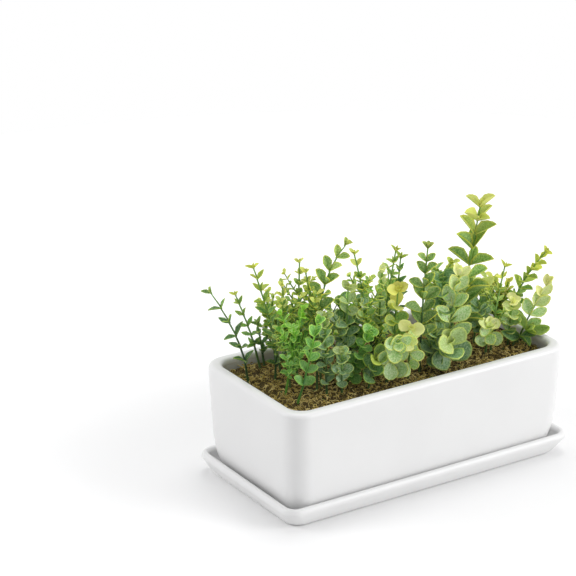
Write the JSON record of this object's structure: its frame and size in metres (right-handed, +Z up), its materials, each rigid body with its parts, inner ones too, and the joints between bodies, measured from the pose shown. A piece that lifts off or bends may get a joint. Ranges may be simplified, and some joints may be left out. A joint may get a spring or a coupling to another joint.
{
  "type": "planter",
  "caption": "Rectangular white glazed ceramic planter on a matching saucer, planted with artificial small-leaved sprigs in a coir-topped foam block.",
  "frame": {"origin": "middle of the saucer's foot ring, on the surface that the planter stands on", "axes": "+X along the planter's long side, +Y across it towards the long side with the bare strip of coir, +Z up"},
  "size_m": [0.3144, 0.1598, 0.2561],
  "materials": {
    "glazed_pot": "satin white glaze",
    "glazed_saucer": "satin white glaze",
    "foam": "open green floral foam",
    "coir": "curly brown coconut fibre",
    "leaf_deep": "soft moulded plastic, waxy",
    "leaf_green": "soft moulded plastic, waxy",
    "leaf_bright": "soft moulded plastic, waxy",
    "leaf_lime": "soft moulded plastic, waxy",
    "leaf_olive": "soft moulded plastic, waxy",
    "leaf_grey": "soft moulded plastic, waxy",
    "leaf_silver": "soft moulded plastic, waxy"
  },
  "bodies": {
    "saucer": {"saucer": "glazed_saucer"},
    "pot": {"pot": "glazed_pot"},
    "planting": {"foam_block": "foam", "coir_top": "coir", "fine_sprig_1": "leaf_deep", "fine_sprig_2": "leaf_green", "fine_sprig_3": "leaf_deep", "fine_sprig_4": "leaf_green", "small_sprig_1": "leaf_lime", "small_sprig_2": "leaf_lime", "small_sprig_3": "leaf_lime", "small_sprig_4": "leaf_lime", "fine_sprig_5": "leaf_deep", "oval_sprig_1": "leaf_deep", "bright_sprig_1": "leaf_bright", "bright_sprig_2": "leaf_bright", "grey_sprig_1": "leaf_grey", "olive_sprig_1": "leaf_olive", "small_sprig_5": "leaf_lime", "grey_sprig_2": "leaf_grey", "grey_sprig_3": "leaf_bright", "grey_sprig_4": "leaf_grey", "oval_sprig_2": "leaf_deep", "fine_sprig_6": "leaf_lime", "fine_sprig_7": "leaf_deep", "coin_sprig_1": "leaf_silver", "olive_sprig_2": "leaf_bright", "coin_sprig_2": "leaf_lime", "coin_sprig_3": "leaf_silver", "coin_sprig_4": "leaf_silver", "coin_sprig_5": "leaf_deep", "coin_sprig_6": "leaf_grey", "coin_sprig_7": "leaf_grey", "olive_sprig_3": "leaf_olive", "olive_sprig_4": "leaf_deep", "tall_sprig": "leaf_olive", "olive_sprig_5": "leaf_lime", "silver_sprig": "leaf_silver", "grey_sprig_5": "leaf_grey", "fine_sprig_8": "leaf_green", "coin_sprig_8": "leaf_silver", "coin_sprig_9": "leaf_deep", "coin_sprig_10": "leaf_silver", "fine_sprig_9": "leaf_green", "small_sprig_6": "leaf_lime", "small_sprig_7": "leaf_silver", "grey_sprig_6": "leaf_grey", "oval_sprig_3": "leaf_deep", "grey_sprig_7": "leaf_grey", "oval_sprig_4": "leaf_green"}
  },
  "joints": [
    {"name": "pot_lift", "type": "slide", "parent": "saucer", "child": "pot", "axis": [0, 0, 1], "range_m": [0, 0.06]},
    {"name": "planting_lift", "type": "slide", "parent": "pot", "child": "planting", "axis": [0, 0, 1], "range_m": [0, 0.12]}
  ]
}
